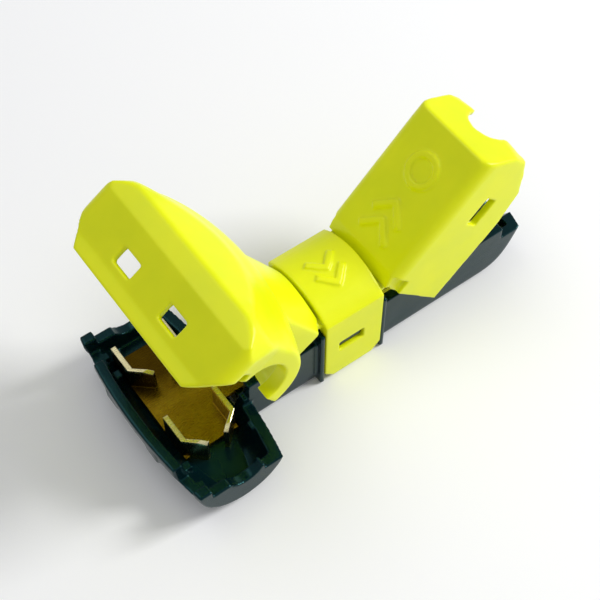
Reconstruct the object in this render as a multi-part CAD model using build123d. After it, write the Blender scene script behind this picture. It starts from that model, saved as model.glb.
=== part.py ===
from build123d import *
import os

# T-type quick-splice wire connector: a black base housing with a stamped contact in it, and a
# yellow cover moulding whose two lids swing on living hinges. All lengths are in millimetres.
# X runs from the T-shaped head (-X) to the branch end (+X), Z is up, the underside is at Z = 0,
# and X = 0 is the middle of the centre saddle.

# ---- base housing ----
HEAD_X = -13.6         # axis of the through-wire trough
HEAD_AXIS_Z = 4.45     # height of that axis
HEAD_R = 4.6           # outer radius of the trough at mid length
HEAD_END_R = 3.8       # outer radius at its two ends
HEAD_HALF = 8.5        # half length of the trough
WALL = 0.85            # housing wall
FLOOR = 1.5            # top of the housing floor, on which the contact lies
FRONT_RIM = 4.8        # height of the front wall
LUG_TOP = 4.5          # height of the four corner lugs
PORT_RIM = 3.65        # height of the end walls beside the wire cradles
REAR_RIM = 3.0         # height of the rear wall
LUG_X = -16.35         # inner side of the corner lugs
CORNER_RIM = 2.95      # front wall beside the lugs, where the lid's corner drops in
CORNER_Y = 5.6         # start of that lower stretch
BODY_HALF_W = 3.25     # half width of neck and branch trough
BODY_RIM = 5.2         # height of their side walls
CENTRE_HALF_W = 2.95   # half width of the pedestal under the saddle
CENTRE_RIM = 6.4       # height of the pedestal
POST_TOP = 6.7         # height of the four corner posts beside the saddle
POST_T = 0.4           # their thickness along X
TIP_X = 18.1           # far end of the branch
TIP_CORNER_X = 17.55   # where its rounded end meets the side walls
TIP_INNER_X = 16.9     # inner face of its end wall
TIP_TOP = 4.0          # height of its end wall
BOW_X = 13.8           # where its underside starts to sweep up
BOW_TOP = 3.0          # how high it has swept at the end
SLOT_X = 15.6          # from here on the side walls are as low as the end wall
WIRE_R = 1.65          # radius of the cradles that grip a wire of 1.5 square millimetres
RUN_WIRE_X = -13.4     # through-wire axis
RUN_WIRE_Z = 4.5
BRANCH_WIRE_Z = 4.6
BRANCH_CRADLE_R = 1.7
TOOTH_Y = (4.85, 6.8)  # strain-relief teeth, each side of mid length
TOOTH_T = 0.7
TOOTH_GAP = 2.65       # half the gap between two facing teeth
TOOTH_TOP = 2.9

# ---- cover moulding ----
SADDLE_HALF_L = 2.72
SADDLE_HALF_W = 3.85
SADDLE_SIDE = 7.7      # height of the saddle's side walls
SADDLE_CROWN = 9.15    # top of its crowned roof
SADDLE_FOOT = 0.25
HINGE_X = 3.02         # both hinge lines, each side of the saddle
HINGE_Z = 7.55
BEAD_R = 0.38          # half thickness of the hinge web
BEAD_GAP = 0.06
BEAD_HALF_W = 3.3
POST_CLEAR_X = 3.26    # both lids start here when they are shut

RUN_OPEN = 58.0        # how far each lid stands open, degrees
BRANCH_OPEN = 44.0

LID_WALL = 0.6
LID_REAR_WALL = 0.5
LID_END_WALL = 1.2     # thicker, to support the wire where it leaves
LID_X = -13.5          # axis of the run lid's barrel roof
LID_AXIS_Z = 3.9
LID_R = 5.05           # barrel radius at mid length and at the ends
LID_END_R = 3.4
LID_HALF = 8.2
LID_RIM = 3.76         # lower edge of its ends, over the wire cradles
LID_REAR_RIM = 3.15    # lower edge of its rear wall and of its neck
LID_FRONT_X = -18.85   # front wall
LID_LIP_Z = 2.35       # below this the front wall flares a little, to push the lid open by
LID_LIP_FOOT = 1.3
LID_LIP_FLARE = 0.2
LID_BAND_Z = 6.05      # above this the front wall leans back, up to the ridge
LID_RIDGE = (0.45, 7.6)  # distance behind the front wall, and height
LID_RIDGE_Y = 5.0      # half of the ridge's straight length
LID_SIDE_Z = 5.6       # its rounded ends run down to this height
LID_FRONT_HALF = 8.85  # the front part is a little longer than the barrel
LID_CORNER = 0.9       # corner rounding of the front wall
LID_TAPER_X = -15.5    # it has narrowed to the barrel's length here
LID_SHOULDER = ((8.85, 3.7), (6.7, 1.2))  # its lower corners are cut between these (y, z)
LID_PORT_R = 2.1
LID_PORT_Z = 3.9
NECK_SIDE = 7.3
NECK_CROWN = 8.55
NECK_START_X = -5.0    # the lid's neck slopes down from here to the hinge
NECK_END_TOP = 7.9
WINDOW_Y = 2.8
WINDOW = (1.3, 2.0)    # height and width of the two latch windows
WINDOW_Z = 3.6

BRANCH_HALF_W = 4.05
BRANCH_WALL = 0.62
BRANCH_TOP = 8.35
BRANCH_FOOT = 0.55
BRANCH_END_X = 17.25
BRANCH_PLAN_X = 16.9
BRANCH_ROOF = 0.8
BRANCH_NOTCH_Z = 4.25  # its end notch is set a little low, to squeeze the wire
BRANCH_SLOT_X = (10.6, 13.1)
BRANCH_SLOT_Z = (3.6, 4.9)

# ---- contact ----
SHEET = 0.42
CONTACT_HALF_W = 2.4
CONTACT_TOP = 4.15
BLADE_GAP = 0.65       # half the gap between two blade tips
FLAP = 1.3
CLIP_LEN = 2.5
NEAR_CLIP_Y = -3.55    # where each run clip's blades start to turn in
FAR_CLIP_Y = 3.9
BUS_HALF_W = 1.25
BRANCH_CLIP_X = (5.4, 10.9)
BRANCH_CLIP_HALF_W = 2.1


def block(x0, x1, y0, y1, z0, z1):
    """Box between two corners."""
    size = Box(x1 - x0, y1 - y0, z1 - z0)
    return Pos((x0 + x1) / 2, (y0 + y1) / 2, (z0 + z1) / 2) * size


def barrel(mid_r, end_r, half_len, x, z):
    """Barrel of revolution whose axis runs along Y through (x, z)."""
    outline = make_face([
        Line((0, -half_len), (end_r, -half_len)),
        ThreePointArc((end_r, -half_len), (mid_r, 0), (end_r, half_len)),
        Line((end_r, half_len), (0, half_len)),
        Line((0, half_len), (0, -half_len)),
    ])
    return Pos(x, 0, z) * revolve(outline, Axis.Y)


def rod_y(radius, x, z, half_len):
    """Cylinder along Y."""
    return Pos(x, 0, z) * Rot(90, 0, 0) * Cylinder(radius, 2 * half_len)


def rod_x(radius, x0, x1, y, z):
    """Cylinder along X."""
    return Pos((x0 + x1) / 2, y, z) * Rot(0, 90, 0) * Cylinder(radius, x1 - x0)


def arch(half_w, side, crown, foot, x0, x1):
    """Block along X with a crowned roof."""
    outline = make_face([
        Line((-half_w, foot), (half_w, foot)),
        Line((half_w, foot), (half_w, side)),
        ThreePointArc((half_w, side), (0, crown), (-half_w, side)),
        Line((-half_w, side), (-half_w, foot)),
    ])
    return extrude(Plane.YZ.offset(x0) * outline, x1 - x0)


def both_sides(shape):
    """The shape and its mirror image across the XZ plane."""
    return shape + mirror(shape, Plane.XZ)


def make_base():
    head = barrel(HEAD_R, HEAD_END_R, HEAD_HALF, HEAD_X, HEAD_AXIS_Z)
    head &= block(-20, -8, -9, 9, 0, FRONT_RIM)
    hollow = barrel(HEAD_R - WALL, HEAD_END_R - WALL * 0.8, HEAD_HALF - 0.9, HEAD_X, HEAD_AXIS_Z)
    head -= hollow & block(-20, -8, -9, 9, FLOOR, 9)

    trough = block(-9.6, TIP_X, -BODY_HALF_W, BODY_HALF_W, 0, BODY_RIM)
    bow = make_face([
        Line((-10, 0), (BOW_X, 0)),
        Spline((BOW_X, 0), (TIP_CORNER_X, BOW_TOP), tangents=[(1, 0), (0.45, 1)]),
        Line((TIP_CORNER_X, BOW_TOP), (TIP_X + 1, BOW_TOP + 1.4)),
        Line((TIP_X + 1, BOW_TOP + 1.4), (TIP_X + 1, 9)),
        Line((TIP_X + 1, 9), (-10, 9)),
        Line((-10, 9), (-10, 0)),
    ])
    trough &= extrude(Plane.XZ * bow, 5, both=True)
    end_plan = make_face([
        Line((-10, -BODY_HALF_W), (TIP_CORNER_X, -BODY_HALF_W)),
        ThreePointArc((TIP_CORNER_X, -BODY_HALF_W), (TIP_X, 0), (TIP_CORNER_X, BODY_HALF_W)),
        Line((TIP_CORNER_X, BODY_HALF_W), (-10, BODY_HALF_W)),
        Line((-10, BODY_HALF_W), (-10, -BODY_HALF_W)),
    ])
    trough &= extrude(end_plan, 9)
    lower_edges = trough.edges().filter_by(Axis.X).group_by(Axis.Z)[0]
    trough = fillet(lower_edges, 0.7)
    trough -= block(SLOT_X, 20, -4, 4, TIP_TOP, 9)

    inner_w = BODY_HALF_W - 0.8
    channel = block(-9.7, TIP_INNER_X, -inner_w, inner_w, FLOOR, 9)
    floor_rise = Pos(TIP_INNER_X, 0, FLOOR) * Rot(0, 45, 0) * Box(3.6, 2 * inner_w, 3.6)
    channel -= floor_rise & block(12, TIP_INNER_X, -3, 3, 0, 3.0)

    centre = block(-SADDLE_HALF_L, SADDLE_HALF_L, -CENTRE_HALF_W, CENTRE_HALF_W, 0, CENTRE_RIM)
    side_relief = block(-SADDLE_HALF_L, SADDLE_HALF_L, CENTRE_HALF_W, 5, -1, 9)
    trough -= both_sides(side_relief)
    post = block(SADDLE_HALF_L + 0.03, SADDLE_HALF_L + 0.03 + POST_T,
                 BODY_HALF_W - 0.8, SADDLE_HALF_W - 0.03, 0.02, POST_TOP)
    posts = both_sides(post)
    posts += mirror(posts, Plane.YZ)

    base = head + trough + centre + posts
    base -= channel
    base -= block(-11.5, -8.2, -inner_w, inner_w, FLOOR, 9)
    base -= block(LUG_X, -9.62, -9, 9, PORT_RIM, 9)
    base -= both_sides(block(LUG_X, -8.4, BODY_HALF_W, 9, PORT_RIM, 9))
    base -= both_sides(block(RUN_WIRE_X + 1.6, -8.4, BODY_HALF_W, 9, REAR_RIM, 9))
    base -= both_sides(block(-20, LUG_X, HEAD_HALF - 0.95, 9, LUG_TOP, 9))
    base -= both_sides(block(-20, LUG_X, CORNER_Y, HEAD_HALF - 0.9, CORNER_RIM, 9))
    pocket = block(HEAD_X - CONTACT_HALF_W, HEAD_X + CONTACT_HALF_W + 0.2,
                   NEAR_CLIP_Y - 0.6, FAR_CLIP_Y + CLIP_LEN + 0.1, FLOOR, 9)
    base -= pocket
    base -= rod_y(WIRE_R, RUN_WIRE_X, RUN_WIRE_Z, 9)
    base -= rod_x(BRANCH_CRADLE_R, TIP_INNER_X - 0.3, 20, 0, BRANCH_WIRE_Z)

    for tooth_y in TOOTH_Y:
        band = block(-20, -8, tooth_y - TOOTH_T / 2, tooth_y + TOOTH_T / 2, FLOOR - 0.3, TOOTH_TOP)
        band &= barrel(HEAD_R - 0.3, HEAD_END_R - 0.3, HEAD_HALF, HEAD_X, HEAD_AXIS_Z)
        band -= block(RUN_WIRE_X - TOOTH_GAP, RUN_WIRE_X + TOOTH_GAP, 0, 9, 0, 9)
        base += both_sides(band)

    latch = block(-1.3, 0.85, CENTRE_HALF_W - 0.1, SADDLE_HALF_W - 0.25, 3.62, 4.5)
    base += both_sides(latch)
    return base


def make_run_catches():
    """The two catches on the head's front wall that the lid's windows close over."""
    low, high = WINDOW_Z - 0.45, WINDOW_Z + 0.45
    catch = block(-18.1, -17.6, WINDOW_Y - 0.8, WINDOW_Y + 0.8, low, high)
    catch -= barrel(HEAD_R - 0.4, HEAD_END_R - 0.4, HEAD_HALF, HEAD_X, HEAD_AXIS_Z)
    return both_sides(catch)


def clip(turn, length, half_w):
    """One fork of the contact along +X: two side plates whose ends turn in to a narrow slot."""
    plate = block(turn - length, turn, half_w - SHEET, half_w, FLOOR, CONTACT_TOP)
    flap = make_face(Polyline(
        (turn, half_w), (turn + FLAP, BLADE_GAP + SHEET * 0.7), (turn + FLAP - 0.2, BLADE_GAP),
        (turn, half_w - SHEET), (turn, half_w)))
    flap = extrude(Plane.XY.offset(FLOOR) * flap, CONTACT_TOP - FLOOR)
    lead_in = Pos(turn + FLAP, 0, CONTACT_TOP) * Rot(0, 28, 0) * Box(2.4, 2 * half_w, 0.5)
    return both_sides(plate + flap) - lead_in


def make_contact():
    floor_z = FLOOR + SHEET
    strip = block(HEAD_X - CONTACT_HALF_W + 0.1, HEAD_X + CONTACT_HALF_W + 0.1,
                  NEAR_CLIP_Y - 0.4, FAR_CLIP_Y + CLIP_LEN, FLOOR, floor_z)
    strip += block(HEAD_X, BRANCH_CLIP_X[1] + 0.3, -BUS_HALF_W, BUS_HALF_W, FLOOR, floor_z)
    for turn_y in (NEAR_CLIP_Y, FAR_CLIP_Y):
        fork = clip(0, CLIP_LEN, CONTACT_HALF_W)
        strip += Pos(HEAD_X + 0.1, turn_y, 0) * Rot(0, 0, -90) * fork
    for turn_x in BRANCH_CLIP_X:
        pad = block(turn_x - CLIP_LEN + 0.6, turn_x, -BRANCH_CLIP_HALF_W, BRANCH_CLIP_HALF_W,
                    FLOOR, floor_z)
        strip += pad + Pos(turn_x, 0, 0) * clip(0, CLIP_LEN - 0.6, BRANCH_CLIP_HALF_W)
    return strip


def make_saddle():
    shell = arch(SADDLE_HALF_W, SADDLE_SIDE, SADDLE_CROWN, SADDLE_FOOT,
                 -SADDLE_HALF_L, SADDLE_HALF_L)
    lower_corners = shell.edges().filter_by(Axis.Y).group_by(Axis.Z)[0]
    shell = chamfer(lower_corners, 0.8)
    inner_w = CENTRE_HALF_W + 0.05
    shell -= arch(inner_w, CENTRE_RIM + 0.05, CENTRE_RIM + 1.6, -1, -3, 3)
    slot = block(-1.42, 0.95, inner_w - 0.3, SADDLE_HALF_W + 1, 3.5, 4.62)
    return shell - both_sides(slot)


def make_hinge(side):
    """Thin web that joins the saddle to one lid; its round bead lies on the hinge line."""
    bead = rod_y(BEAD_R, HINGE_X, HINGE_Z, BEAD_HALF_W)
    tail = block(SADDLE_HALF_L, HINGE_X, -BEAD_HALF_W, BEAD_HALF_W, HINGE_Z - 0.14, HINGE_Z + 0.14)
    web = (bead + tail) - block(-5, SADDLE_HALF_L, -9, 9, 0, 20)
    return web if side > 0 else mirror(web, Plane.YZ)


def front_shape(inset):
    """Front part of the run lid: a flat wall, leaning back to a ridge that curves down at both
    ends, and a top that rises from the ridge to the barrel roof. inset draws its hollow."""
    half, x0 = LID_FRONT_HALF - inset, LID_FRONT_X + inset
    end = LID_HALF - (LID_END_WALL if inset else 0)
    back, flare = LID_X + 0.9, x0 - LID_LIP_FLARE - 0.1
    flat, turn = half - LID_CORNER, x0 + LID_CORNER
    bulge = 0.3 * LID_CORNER
    plan = make_face([
        Line((back, -end), (LID_TAPER_X, -end)), Line((LID_TAPER_X, -end), (turn, -half)),
        ThreePointArc((turn, -half), (x0 + bulge, bulge - half), (x0, -flat)),
        Line((x0, -flat), (flare, -flat)), Line((flare, -flat), (flare, flat)),
        Line((flare, flat), (x0, flat)),
        ThreePointArc((x0, flat), (x0 + bulge, half - bulge), (turn, half)),
        Line((turn, half), (LID_TAPER_X, end)), Line((LID_TAPER_X, end), (back, end)),
        Line((back, end), (back, -end)),
    ])
    ridge_x, ridge_z = x0 + LID_RIDGE[0], LID_RIDGE[1] - inset
    profile = make_face(Polyline(
        (back, -2), (x0 - LID_LIP_FLARE, -2), (x0 - LID_LIP_FLARE, LID_LIP_FOOT),
        (x0, LID_LIP_Z), (x0, LID_BAND_Z), (ridge_x, ridge_z), (ridge_x + 0.6, ridge_z + 0.24),
        (back, 12), (back, -2)))
    ridge_half, side_z = LID_RIDGE_Y - inset * 0.5, LID_SIDE_Z - inset * 0.5
    low, high_z = (LID_SHOULDER[1][0] - inset, LID_SHOULDER[1][1]), LID_SHOULDER[0][1]
    mid = (half - 0.28 * (half - ridge_half), ridge_z - 0.28 * (ridge_z - side_z))
    front_view = make_face([
        Line((-low[0], -9), (low[0], -9)), Line((low[0], -9), low),
        Line(low, (half, high_z)), Line((half, high_z), (half, side_z)),
        ThreePointArc((half, side_z), mid, (ridge_half, ridge_z)),
        Line((ridge_half, ridge_z), (-ridge_half, ridge_z)),
        ThreePointArc((-ridge_half, ridge_z), (-mid[0], mid[1]), (-half, side_z)),
        Line((-half, side_z), (-half, high_z)), Line((-half, high_z), (-low[0], low[1])),
        Line((-low[0], low[1]), (-low[0], -9)),
    ])
    rising = extrude(Plane.YZ.offset(ridge_x) * front_view, 6, dir=(1, 0, 0.4))
    rising += extrude(Plane.YZ.offset(x0 - 1) * front_view, 1 + LID_RIDGE[0])
    crest = LID_AXIS_Z + LID_R - inset - 0.12
    crest_end = LID_AXIS_Z + LID_END_R - inset - 0.12
    roof_view = make_face([
        Line((-9, -9), (9, -9)), Line((9, -9), (9, crest_end - 0.35)),
        ThreePointArc((9, crest_end - 0.35), (0, crest), (-9, crest_end - 0.35)),
        Line((-9, crest_end - 0.35), (-9, -9)),
    ])
    under_roof = extrude(Plane.YZ.offset(-22) * roof_view, 22)
    body = extrude(Plane.XZ * profile, 9, both=True) & extrude(plan, 24, both=True)
    return body & rising & under_roof


def make_skirt_plan(inset):
    """Plan of the run lid's rear half, which follows the barrel roof."""
    mid, end = LID_R - inset, LID_END_R - inset
    half = LID_HALF - (LID_END_WALL if inset else 0)
    return make_face([
        Line((LID_X, -half), (LID_X + end, -half)),
        ThreePointArc((LID_X + end, -half), (LID_X + mid, 0), (LID_X + end, half)),
        Line((LID_X + end, half), (LID_X, half)),
        Line((LID_X, half), (LID_X, -half)),
    ])


def below_rim():
    """Everything under the run lid's lower edge, closed: the edge is low along the front wall
    and rises at the ends and at the rear to pass over the base."""
    space = block(LID_X + 2.0, 0, -9, 9, -3, LID_REAR_RIM)
    slope = make_face(Polyline(
        (LID_FRONT_X, LID_LIP_FOOT), (LID_FRONT_X + 1.35, CORNER_RIM + 0.12),
        (LID_X, CORNER_RIM + 0.12), (LID_X, -3), (LID_FRONT_X, -3),
        (LID_FRONT_X, LID_LIP_FOOT)))
    corner = extrude(Plane.XZ.offset(-9) * slope, 9 - 5.9)
    space += both_sides(corner)
    space += both_sides(block(LUG_X + 0.1, LID_X + 2.0, 5.9, 9, -3, LID_RIM))
    return space


def make_run_lid():
    roof = barrel(LID_R, LID_END_R, LID_HALF, LID_X, LID_AXIS_Z)
    roof &= block(-25, 0, -9, 9, LID_AXIS_Z, 12)
    skirt = extrude(Plane.XY * make_skirt_plan(0), LID_AXIS_Z)
    neck = arch(SADDLE_HALF_W, NECK_SIDE, NECK_CROWN, 2.0, -11.5, -POST_CLEAR_X)
    slope = make_face(Polyline(
        (-12, 0), (-POST_CLEAR_X, 0), (-POST_CLEAR_X, NECK_END_TOP), (NECK_START_X, NECK_CROWN),
        (-12, 12), (-12, 0)))
    neck &= extrude(Plane.XZ * slope, 9, both=True)
    front = front_shape(0) & block(-25, 0, -9, 9, LID_LIP_FOOT, 12)
    lid = roof + front + skirt + neck

    room = barrel(LID_R - LID_WALL, LID_END_R - LID_WALL, LID_HALF - LID_END_WALL,
                  LID_X, LID_AXIS_Z)
    room &= block(-25, 0, -9, 9, LID_AXIS_Z, 12)
    room += extrude(Plane.XY.offset(-2) * make_skirt_plan(LID_REAR_WALL), LID_AXIS_Z + 2)
    neck_w = SADDLE_HALF_W - 0.5
    neck_room = arch(neck_w, 6.7, 7.8, 0, LID_X, NECK_START_X - 0.3)
    neck_room += block(NECK_START_X - 1.5, 0, -neck_w, neck_w, 0, 6.7)
    lid -= room + front_shape(LID_WALL) + neck_room
    lid -= rod_y(LID_PORT_R, RUN_WIRE_X, LID_PORT_Z, 9)
    lid -= both_sides(block(-17.6, LUG_X + 0.1, HEAD_HALF - 1.05, 9, 0, LUG_TOP + 0.12))
    lid -= both_sides(block(LUG_X + 0.05, LID_X + 2.0, 5.9, 9, 0, LID_RIM))
    lid -= below_rim()
    lid -= rod_y(BEAD_R + BEAD_GAP, -HINGE_X, HINGE_Z, 9)

    height, width = WINDOW
    window = block(LID_FRONT_X - 1, LID_FRONT_X + 1.2, WINDOW_Y - width / 2, WINDOW_Y + width / 2,
                   WINDOW_Z - height / 2, WINDOW_Z + height / 2)
    lid -= both_sides(window)
    lid = max(lid.solids(), key=lambda solid: solid.volume)
    return lid.rotate(Axis((-HINGE_X, 0, HINGE_Z), (0, 1, 0)), RUN_OPEN)


def branch_outline(inset):
    """Side outline of the branch lid, closed; inset draws its hollow."""
    top = BRANCH_TOP - BRANCH_ROOF * inset
    end = BRANCH_WALL * 1.1 * inset
    foot = 3 * inset
    return make_face(Polyline(
        (POST_CLEAR_X - 3 * inset, BRANCH_FOOT + 0.1 - foot), (11.2, BRANCH_FOOT - foot),
        (14.3, 1.15 - foot), (15.7 - end, 2.3 - foot), (BRANCH_END_X - end, 4.12 - foot),
        (BRANCH_END_X - end, 4.5), (15.6 - end, top), (POST_CLEAR_X - 3 * inset, top),
        (POST_CLEAR_X - 3 * inset, BRANCH_FOOT + 0.1 - foot)))


def make_branch_lid():
    lid = extrude(Plane.XZ * branch_outline(0), BRANCH_HALF_W, both=True)
    plan = make_face([
        Line((3, -4.1), (BRANCH_PLAN_X, -4.1)),
        ThreePointArc((BRANCH_PLAN_X, -4.1), (BRANCH_END_X, 0), (BRANCH_PLAN_X, 4.1)),
        Line((BRANCH_PLAN_X, 4.1), (3, 4.1)),
        Line((3, 4.1), (3, -4.1)),
    ])
    lid &= extrude(plan, 12)
    long_edges = lid.edges().filter_by(Axis.X).group_by(Axis.Z)[-1]
    lid = fillet(long_edges, 1.0)
    lid -= extrude(Plane.XZ * branch_outline(1), BRANCH_HALF_W - BRANCH_WALL, both=True)
    lid -= rod_x(BRANCH_CRADLE_R + 0.05, 12, 20, 0, BRANCH_NOTCH_Z)
    lid -= both_sides(block(3, 4.5, BRANCH_HALF_W - 0.4, 6, 6.4, 12))
    lid -= extrude(Plane.XZ * make_face(Polyline(
        (0, NECK_END_TOP), (POST_CLEAR_X, NECK_END_TOP), (4.5, BRANCH_TOP), (4.5, 12), (0, 12),
        (0, NECK_END_TOP))), 9, both=True)
    lid -= rod_y(BEAD_R + BEAD_GAP, HINGE_X, HINGE_Z, 9)
    lid -= block(15.4, 20, -BODY_HALF_W - 0.08, BODY_HALF_W + 0.08, 0, TIP_TOP + 0.1)
    slot = block(*BRANCH_SLOT_X, 3, 6, *BRANCH_SLOT_Z)
    lid -= both_sides(slot)
    return lid.rotate(Axis((HINGE_X, 0, HINGE_Z), (0, 1, 0)), -BRANCH_OPEN)


def main():
    parts = {
        "base_housing": make_base() + make_run_catches(),
        "contact_strip": make_contact(),
        "centre_saddle": make_saddle(),
        "run_hinge_web": make_hinge(-1),
        "branch_hinge_web": make_hinge(1),
        "run_lid": make_run_lid(),
        "branch_lid": make_branch_lid(),
    }
    os.makedirs("parts", exist_ok=True)
    for name, shape in parts.items():
        export_step(shape, f"parts/{name}.step")


main()
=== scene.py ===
import math

import bmesh
import bpy
from mathutils import Matrix, Vector


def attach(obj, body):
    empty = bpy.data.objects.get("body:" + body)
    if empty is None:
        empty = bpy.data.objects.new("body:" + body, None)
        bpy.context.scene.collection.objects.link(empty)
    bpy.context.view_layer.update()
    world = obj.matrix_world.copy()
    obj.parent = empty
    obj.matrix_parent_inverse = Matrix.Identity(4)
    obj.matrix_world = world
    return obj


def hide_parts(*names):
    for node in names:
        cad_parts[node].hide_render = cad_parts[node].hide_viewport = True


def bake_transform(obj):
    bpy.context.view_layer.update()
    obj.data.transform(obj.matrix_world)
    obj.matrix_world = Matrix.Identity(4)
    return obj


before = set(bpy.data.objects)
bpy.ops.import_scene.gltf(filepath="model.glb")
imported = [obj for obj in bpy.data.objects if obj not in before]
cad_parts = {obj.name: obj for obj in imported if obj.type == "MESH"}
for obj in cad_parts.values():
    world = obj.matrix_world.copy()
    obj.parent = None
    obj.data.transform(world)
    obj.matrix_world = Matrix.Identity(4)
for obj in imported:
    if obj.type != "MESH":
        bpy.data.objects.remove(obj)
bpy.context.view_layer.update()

MM = 0.001

# Hinge lines and rest angles of the two lids, in the shared frame.
HINGE_X, HINGE_Z = 3.02 * MM, 7.55 * MM
RUN_OPEN, BRANCH_OPEN = math.radians(58), math.radians(44)
RUN_SIDE, BRANCH_SIDE = -1, 1

# Grain of the remesh that rounds each moulding's edges, and the share of its faces kept.
BASE_VOXEL, LID_VOXEL, SADDLE_VOXEL = 0.085 * MM, 0.09 * MM, 0.08 * MM
BASE_KEEP, COVER_KEEP = 0.36, 0.5
SHOULDER_TURNS = 90

# Raised marks, in millimetres.
MARK_HALF_W, MARK_HEIGHT, MARK_ROOT = 0.27, 0.2, -0.3
MARK_STEP = 0.3
BRANCH_ROOF_Z = 8.35
SADDLE_ROOF_R, SADDLE_ROOF_AXIS_Z = 5.836, 3.314

# Living hinge web, in millimetres: points are along the connector, then up.
WEB_HELD, WEB_BEND, WEB_FREE = (2.60, 7.56), (3.02, 7.50), (3.56, 7.50)
WEB_LINE = (3.02, 7.55)
WEB_HALF_LENGTH = 3.3
WEB_HALF_THICK, WEB_ROOT_THICKER = 0.17, 0.1
WEB_STEPS = 12

EDGE_BREAK = 0.05 * MM


# ---------------------------------------------------------------- materials

def new_material(name):
    mat = bpy.data.materials.new(name)
    mat.use_nodes = True
    tree = mat.node_tree
    tree.nodes.clear()
    out = tree.nodes.new("ShaderNodeOutputMaterial")
    shader = tree.nodes.new("ShaderNodeBsdfPrincipled")
    tree.links.new(shader.outputs[0], out.inputs[0])
    coords = tree.nodes.new("ShaderNodeTexCoord")
    return mat, tree, shader, coords.outputs["Object"]


def noise(tree, vector, scale, detail, rough):
    node = tree.nodes.new("ShaderNodeTexNoise")
    node.inputs["Scale"].default_value = scale
    node.inputs["Detail"].default_value = detail
    node.inputs["Roughness"].default_value = rough
    tree.links.new(vector, node.inputs["Vector"])
    return node.outputs["Fac"]


def ramp(tree, fac, low, high, a, b):
    """Colour running from a to b while fac runs from low to high."""
    node = tree.nodes.new("ShaderNodeValToRGB")
    node.color_ramp.elements[0].position = low
    node.color_ramp.elements[1].position = high
    node.color_ramp.elements[0].color = (*a, 1)
    node.color_ramp.elements[1].color = (*b, 1)
    tree.links.new(fac, node.inputs["Fac"])
    return node.outputs["Color"]


def mapped(tree, value, low, high, to_low, to_high):
    """A value running from to_low to to_high while the one given runs from low to high."""
    node = tree.nodes.new("ShaderNodeMapRange")
    ends = (("From Min", low), ("From Max", high), ("To Min", to_low), ("To Max", to_high))
    for key, number in ends:
        node.inputs[key].default_value = number
    tree.links.new(value, node.inputs["Value"])
    return node.outputs["Result"]


def multiplied(tree):
    """A node that darkens its colour A (input 6) by its colour B (input 7)."""
    node = tree.nodes.new("ShaderNodeMix")
    node.data_type = "RGBA"
    node.blend_type = "MULTIPLY"
    return node


def bump(tree, height, distance, strength, under=None):
    node = tree.nodes.new("ShaderNodeBump")
    node.inputs["Distance"].default_value = distance
    node.inputs["Strength"].default_value = strength
    tree.links.new(height, node.inputs["Height"])
    if under is not None:
        tree.links.new(under, node.inputs["Normal"])
    return node.outputs["Normal"]


def moulded_plastic(name, deep, pale, rough, grain):
    """Injection-moulded plastic: cloudy colour, fine spark-eroded grain, a soft ripple."""
    mat, tree, shader, at = new_material(name)
    cloud = noise(tree, at, scale=260, detail=3, rough=0.55)
    fine = noise(tree, at, scale=9000, detail=2, rough=0.6)
    ripple = noise(tree, at, scale=420, detail=2, rough=0.4)
    tree.links.new(ramp(tree, cloud, 0.3, 0.7, deep, pale), shader.inputs["Base Color"])
    gloss = mapped(tree, cloud, 0.3, 0.7, rough - 0.03, rough + 0.05)
    tree.links.new(gloss, shader.inputs["Roughness"])
    normal = bump(tree, ripple, distance=0.00006, strength=0.5)
    normal = bump(tree, fine, distance=grain, strength=0.35, under=normal)
    tree.links.new(normal, shader.inputs["Normal"])
    shader.inputs["IOR"].default_value = 1.5
    shader.inputs["Specular IOR Level"].default_value = 0.32
    return mat, shader


def yellow_plastic():
    """The cover's plastic, which lets a little light in."""
    mat, shader = moulded_plastic("yellow moulded plastic", deep=(0.72, 0.78, 0.0005),
                                  pale=(0.79, 0.83, 0.001), rough=0.33, grain=0.000012)
    shader.inputs["Subsurface Weight"].default_value = 0.2
    shader.inputs["Subsurface Radius"].default_value = (1.0, 0.8, 0.12)
    shader.inputs["Subsurface Scale"].default_value = 0.0009
    return mat


def black_plastic():
    """The base's plastic, opaque, with a cold shine."""
    mat, shader = moulded_plastic("black moulded plastic", deep=(0.0006, 0.005, 0.008),
                                  pale=(0.001, 0.011, 0.013), rough=0.2, grain=0.00001)
    shader.inputs["Specular Tint"].default_value = (0.3, 0.95, 1.0, 1)
    return mat


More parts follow.
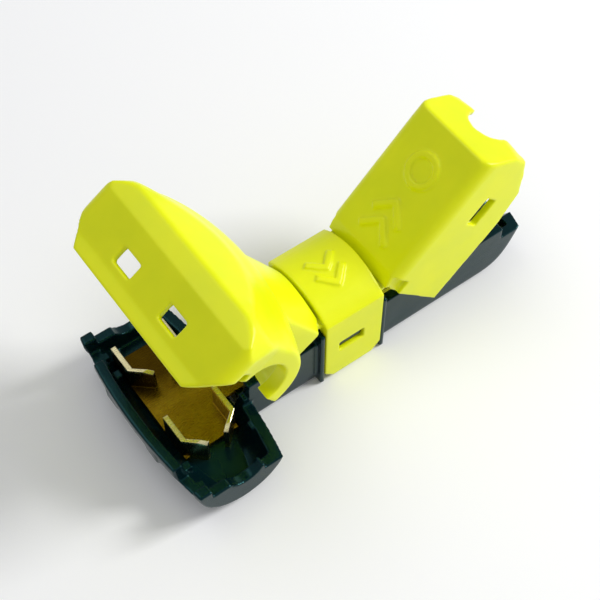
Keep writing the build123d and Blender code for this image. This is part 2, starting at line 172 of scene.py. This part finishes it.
def stamped_metal():
    """Brass sheet coloured by height: warm on its floor, painted shade on its lower walls, a painted
    highlight on its sheared upper edges, and painted shade low down at its far end.
    """
    mat, tree, shader, at = new_material("tinned brass")
    patch = noise(tree, at, scale=700, detail=4, rough=0.6)
    scratch_map = tree.nodes.new("ShaderNodeMapping")
    scratch_map.inputs["Scale"].default_value = (1, 14, 1)
    tree.links.new(at, scratch_map.inputs["Vector"])
    scratch = noise(tree, scratch_map.outputs[0], scale=1500, detail=3, rough=0.6)
    split = tree.nodes.new("ShaderNodeSeparateXYZ")
    tree.links.new(at, split.inputs[0])

    # Colour by height: warm brass floor, painted shade on the lower walls, painted highlight on the
    # upper edges.
    height = tree.nodes.new("ShaderNodeValToRGB")
    stops = ((0.0, (0.36, 0.23, 0.012)), (0.12, (0.26, 0.17, 0.012)), (0.22, (0.10, 0.075, 0.02)),
             (0.80, (0.20, 0.17, 0.08)), (0.93, (0.88, 0.82, 0.50)))
    while len(height.color_ramp.elements) < len(stops):
        height.color_ramp.elements.new(0.5)
    for element, (place, colour) in zip(height.color_ramp.elements, stops):
        element.position = place
        element.color = (*colour, 1)
    tree.links.new(mapped(tree, split.outputs["Z"], 1.8 * MM, 4.2 * MM, 0, 1), height.inputs["Fac"])

    stained = multiplied(tree)
    stained.inputs[0].default_value = 0.6
    tree.links.new(height.outputs["Color"], stained.inputs[6])
    stain = ramp(tree, patch, 0.35, 0.68, (0.7, 0.62, 0.5), (1, 1, 1))
    tree.links.new(stain, stained.inputs[7])

    # Painted shade: darkens the strip low down towards its far end.
    far_end_painted_shade = multiplied(tree)
    far = mapped(tree, split.outputs["Y"], 0.6 * MM, 3.4 * MM, 0, 1)
    low = mapped(tree, split.outputs["Z"], 2.0 * MM, 2.6 * MM, 1, 0)
    painted_shade_mask = tree.nodes.new("ShaderNodeMath")
    painted_shade_mask.operation = "MULTIPLY"
    tree.links.new(far, painted_shade_mask.inputs[0])
    tree.links.new(low, painted_shade_mask.inputs[1])
    tree.links.new(painted_shade_mask.outputs[0], far_end_painted_shade.inputs[0])
    tree.links.new(stained.outputs[2], far_end_painted_shade.inputs[6])
    far_end_painted_shade.inputs[7].default_value = (0.22, 0.2, 0.2, 1)

    tree.links.new(far_end_painted_shade.outputs[2], shader.inputs["Base Color"])
    tree.links.new(mapped(tree, scratch, 0.3, 0.7, 0.2, 0.36), shader.inputs["Roughness"])
    tree.links.new(bump(tree, scratch, distance=0.00001, strength=0.4), shader.inputs["Normal"])
    shader.inputs["Metallic"].default_value = 1.0
    return mat


YELLOW = yellow_plastic()
BLACK = black_plastic()
METAL = stamped_metal()


# ---------------------------------------------------------------- meshes

def carried(node):
    """The CAD node's mesh as a new object, welded into one skin."""
    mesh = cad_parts[node].data.copy()
    mesh.materials.clear()
    bm = bmesh.new()
    bm.from_mesh(mesh)
    bmesh.ops.remove_doubles(bm, verts=bm.verts, dist=1e-7)
    bmesh.ops.triangulate(bm, faces=bm.faces)
    bm.to_mesh(mesh)
    bm.free()
    obj = bpy.data.objects.new(node + "_skin", mesh)
    bpy.context.scene.collection.objects.link(obj)
    return obj


def plain_mesh(obj):
    """Bakes the object's modifiers into its mesh."""
    graph = bpy.context.evaluated_depsgraph_get()
    mesh = bpy.data.meshes.new_from_object(obj.evaluated_get(graph))
    obj.modifiers.clear()
    old = obj.data
    obj.data = mesh
    bpy.data.meshes.remove(old)
    return obj


def join(into, others):
    """Merges the others' closed meshes into one object."""
    bm = bmesh.new()
    for obj in [into] + others:
        bm.from_mesh(obj.data)
    bm.to_mesh(into.data)
    bm.free()
    for obj in others:
        bpy.data.objects.remove(obj)
    return into


def moulded(obj, voxel, turns, keep, softer=None):
    """Rounds every edge the way a moulding's are: a fine remesh, smoothed, then thinned out.
    softer gives, for a point, how much more it is rounded."""
    remesh = obj.modifiers.new("remesh", "REMESH")
    remesh.mode = "VOXEL"
    remesh.voxel_size = voxel
    remesh.adaptivity = 0.0
    soft = obj.modifiers.new("soften", "CORRECTIVE_SMOOTH")
    soft.iterations = turns
    soft.use_only_smooth = True
    soft.rest_source = "ORCO"
    if softer:
        plain_mesh(obj)
        group = obj.vertex_groups.new(name="softer")
        for vertex in obj.data.vertices:
            group.add([vertex.index], softer(vertex.co), "REPLACE")
        wide = obj.modifiers.new("wide", "SMOOTH")
        wide.factor = 0.5
        wide.iterations = SHOULDER_TURNS
        wide.vertex_group = "softer"
    thin = obj.modifiers.new("thin", "DECIMATE")
    thin.ratio = keep
    plain_mesh(obj)
    obj.vertex_groups.clear()
    for poly in obj.data.polygons:
        poly.use_smooth = True
    return obj


def dress(obj, name, body, material, node):
    """Names the finished piece and puts it in place of its CAD node."""
    obj.name = name
    obj.data.materials.clear()
    obj.data.materials.append(material)
    for poly in obj.data.polygons:
        poly.material_index = 0
    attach(obj, body)
    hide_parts(node)


def about_hinge(side, angle):
    """The turn that opens a lid by the angle about its hinge line."""
    line = Matrix.Translation((side * HINGE_X, 0, HINGE_Z))
    return line @ Matrix.Rotation(-side * angle, 4, "Y") @ line.inverted()


def share(value, start, width):
    """0 up to the start, then rising to 1 over the width."""
    return min(max((value - start) / width, 0), 1)


def sweep(rows, closed):
    """A closed skin over rows of four corners, looped or capped at both ends."""
    bm = bmesh.new()
    rows = [[bm.verts.new(spot) for spot in row] for row in rows]
    for i in range(len(rows) if closed else len(rows) - 1):
        first, second = rows[i], rows[(i + 1) % len(rows)]
        for k in range(4):
            bm.faces.new((first[k], first[(k + 1) % 4], second[(k + 1) % 4], second[k]))
    if not closed:
        bm.faces.new(rows[0])
        bm.faces.new(list(reversed(rows[-1])))
    bmesh.ops.recalc_face_normals(bm, faces=bm.faces)
    return bm


def stroke(path, surface, closed=False):
    """A raised stroke, in millimetres: its centre line runs along path, its top follows the surface."""
    points = []
    count = len(path) if closed else len(path) - 1
    for i in range(count):
        a, b = Vector(path[i]), Vector(path[(i + 1) % len(path)])
        steps = max(1, int((b - a).length / MARK_STEP))
        points += [a.lerp(b, k / steps) for k in range(steps)]
    if not closed:
        points.append(Vector(path[-1]))
    rows = []
    for i, point in enumerate(points):
        last, following = points[i - 1], points[(i + 1) % len(points)]
        if not closed:
            last = points[max(i - 1, 0)]
            following = points[min(i + 1, len(points) - 1)]
        along = (following - last).normalized()
        side = Vector((-along.y, along.x)) * MARK_HALF_W
        row = []
        for offset, lift in ((side, MARK_ROOT), (side, MARK_HEIGHT),
                             (-side, MARK_HEIGHT), (-side, MARK_ROOT)):
            x, y = point + offset
            row.append((x * MM, y * MM, (surface(x, y) + lift) * MM))
        rows.append(row)
    bm = sweep(rows, closed)
    mesh = bpy.data.meshes.new("stroke")
    bm.to_mesh(mesh)
    bm.free()
    return bpy.data.objects.new("stroke", mesh)


def ring(x, y, radius, count=28):
    turn = 2 * math.pi / count
    return [(x + radius * math.cos(k * turn), y + radius * math.sin(k * turn)) for k in range(count)]


def hinge_web(name, side, angle, lid):
    """The thin bent web of one living hinge, from inside the saddle's edge to inside the lid's."""
    held, bend, line = Vector(WEB_HELD), Vector(WEB_BEND), Vector(WEB_LINE)
    free = line + Matrix.Rotation(angle, 2) @ (Vector(WEB_FREE) - line)
    centre = []
    for k in range(WEB_STEPS + 1):
        t = k / WEB_STEPS
        centre.append(held * (1 - t) ** 2 + bend * 2 * t * (1 - t) + free * t * t)
    rows = []
    for i, point in enumerate(centre):
        along = (centre[min(i + 1, WEB_STEPS)] - centre[max(i - 1, 0)]).normalized()
        from_middle = abs(i / (WEB_STEPS / 2) - 1)
        across = Vector((-along.y, along.x)) * (WEB_HALF_THICK + WEB_ROOT_THICKER * from_middle ** 2)
        row = []
        for offset, y in ((across, -WEB_HALF_LENGTH), (across, WEB_HALF_LENGTH),
                          (-across, WEB_HALF_LENGTH), (-across, -WEB_HALF_LENGTH)):
            spot = point + offset
            row.append((side * spot.x * MM, y * MM, spot.y * MM))
        rows.append(row)
    bm = sweep(rows, closed=False)
    mesh = bpy.data.meshes.new(name)
    bm.to_mesh(mesh)
    bm.free()
    mesh.materials.append(YELLOW)
    for poly in mesh.polygons:
        poly.use_smooth = len(poly.vertices) == 4 and abs(poly.normal.y) < 0.5
    web = bpy.data.objects.new(name, mesh)
    bpy.context.scene.collection.objects.link(web)
    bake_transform(web)
    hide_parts(lid.replace("_lid", "_hinge_web"))


# ---------------------------------------------------------------- the pieces

RUN_SHUT = about_hinge(RUN_SIDE, -RUN_OPEN)
BRANCH_SHUT = about_hinge(BRANCH_SIDE, -BRANCH_OPEN)


def on_barrel_top(point):
    """1 on the shoulders of the run lid, 0 around its windows, its ports and its hinge."""
    shut = RUN_SHUT @ point / MM
    return share(shut.z, 6.5, 1.0) * share(-shut.x, 7.6, 1.5)


def at_branch_end(point):
    """A half at the end wall of the branch lid, 0 along the rest of it."""
    shut = BRANCH_SHUT @ point / MM
    return 0.5 * share(shut.x, 14.2, 0.8)


def branch_roof(x, y):
    return BRANCH_ROOF_Z


def saddle_roof(x, y):
    return SADDLE_ROOF_AXIS_Z + math.sqrt(SADDLE_ROOF_R ** 2 - y * y)


base = moulded(carried("base_housing"), BASE_VOXEL, 4, BASE_KEEP)
dress(base, "base_moulding", "body", BLACK, "base_housing")

run_lid = moulded(carried("run_lid"), LID_VOXEL, 7, COVER_KEEP, on_barrel_top)
dress(run_lid, "run_lid_moulding", "run_lid", YELLOW, "run_lid")

# Drawn with the lid shut, then swung open with it.
branch_marks = [
    stroke([(5.6, -1.5), (7.1, 0), (5.6, 1.5)], branch_roof),
    stroke([(7.3, -1.5), (8.8, 0), (7.3, 1.5)], branch_roof),
    stroke(ring(11.9, 0, 1.25), branch_roof, closed=True),
]
for mark in branch_marks:
    mark.data.transform(about_hinge(BRANCH_SIDE, BRANCH_OPEN))
branch_lid = join(carried("branch_lid"), branch_marks)
moulded(branch_lid, LID_VOXEL, 5, COVER_KEEP, at_branch_end)
dress(branch_lid, "branch_lid_moulding", "branch_lid", YELLOW, "branch_lid")

saddle_marks = [
    stroke([(-1.2, -0.4), (0, -1.6), (1.2, -0.4)], saddle_roof),
    stroke([(-1.2, 1.1), (0, -0.1), (1.2, 1.1)], saddle_roof),
]
saddle = moulded(join(carried("centre_saddle"), saddle_marks), SADDLE_VOXEL, 5, COVER_KEEP)
dress(saddle, "saddle_moulding", "body", YELLOW, "centre_saddle")

hinge_web("run_living_hinge", RUN_SIDE, RUN_OPEN, "run_lid")
hinge_web("branch_living_hinge", BRANCH_SIDE, BRANCH_OPEN, "branch_lid")

contact = carried("contact_strip")
edge = contact.modifiers.new("edge", "BEVEL")
edge.width = EDGE_BREAK
edge.segments = 2
edge.limit_method = "ANGLE"
dress(plain_mesh(contact), "stamped_contact", "body", METAL, "contact_strip")


# ---------------------------------------------------------------- stage

def stage_material():
    mat, tree, shader, at = new_material("pale floor")
    shade = noise(tree, at, scale=12, detail=2, rough=0.5)
    pale = ramp(tree, shade, 0.3, 0.7, (0.90, 0.90, 0.905), (0.93, 0.93, 0.93))
    tree.links.new(pale, shader.inputs["Base Color"])
    shader.inputs["Roughness"].default_value = 0.8
    shader.inputs["Specular IOR Level"].default_value = 0.1
    return mat


def add_floor():
    bm = bmesh.new()
    bmesh.ops.create_grid(bm, x_segments=1, y_segments=1, size=0.6)
    mesh = bpy.data.meshes.new("floor")
    bm.to_mesh(mesh)
    bm.free()
    mesh.materials.append(stage_material())
    floor = bpy.data.objects.new("floor", mesh)
    floor.location.z = -0.05 * MM
    bpy.context.scene.collection.objects.link(floor)


def add_light(name, place, target, size, power):
    data = bpy.data.lights.new(name, "AREA")
    data.shape = "SQUARE"
    data.size = size
    data.energy = power
    light = bpy.data.objects.new(name, data)
    light.location = place
    light.rotation_euler = (Vector(target) - Vector(place)).to_track_quat("-Z", "Y").to_euler()
    bpy.context.scene.collection.objects.link(light)


def add_world(strength):
    world = bpy.data.worlds.new("studio")
    world.use_nodes = True
    back = world.node_tree.nodes["Background"]
    back.inputs[0].default_value = (0.97, 0.98, 1.0, 1)
    back.inputs[1].default_value = strength
    bpy.context.scene.world = world


def add_camera():
    place = Vector((-34.754, -44.524, 90.282)) * MM
    right = Vector((0.8093, -0.5874, 0.0))
    back = Vector((-0.3233, -0.4454, 0.8349)).normalized()
    up = back.cross(right).normalized()
    right = up.cross(back).normalized()
    turn = Matrix((right, up, back)).transposed().to_4x4()
    data = bpy.data.cameras.new("camera")
    data.sensor_width = 36
    data.lens = 78.14
    data.clip_start = 0.001
    data.clip_end = 10
    camera = bpy.data.objects.new("camera", data)
    camera.matrix_world = Matrix.Translation(place) @ turn
    bpy.context.scene.collection.objects.link(camera)
    bpy.context.scene.camera = camera


add_floor()
add_world(0.5)
add_light("key", (0.23, -0.10, 0.19), (0, 0, 0.004), size=0.10, power=0.76)
add_light("top", (-0.05, 0.10, 0.26), (0, 0, 0), size=0.16, power=0.1)
bpy.context.scene.view_settings.view_transform = "Standard"
add_camera()
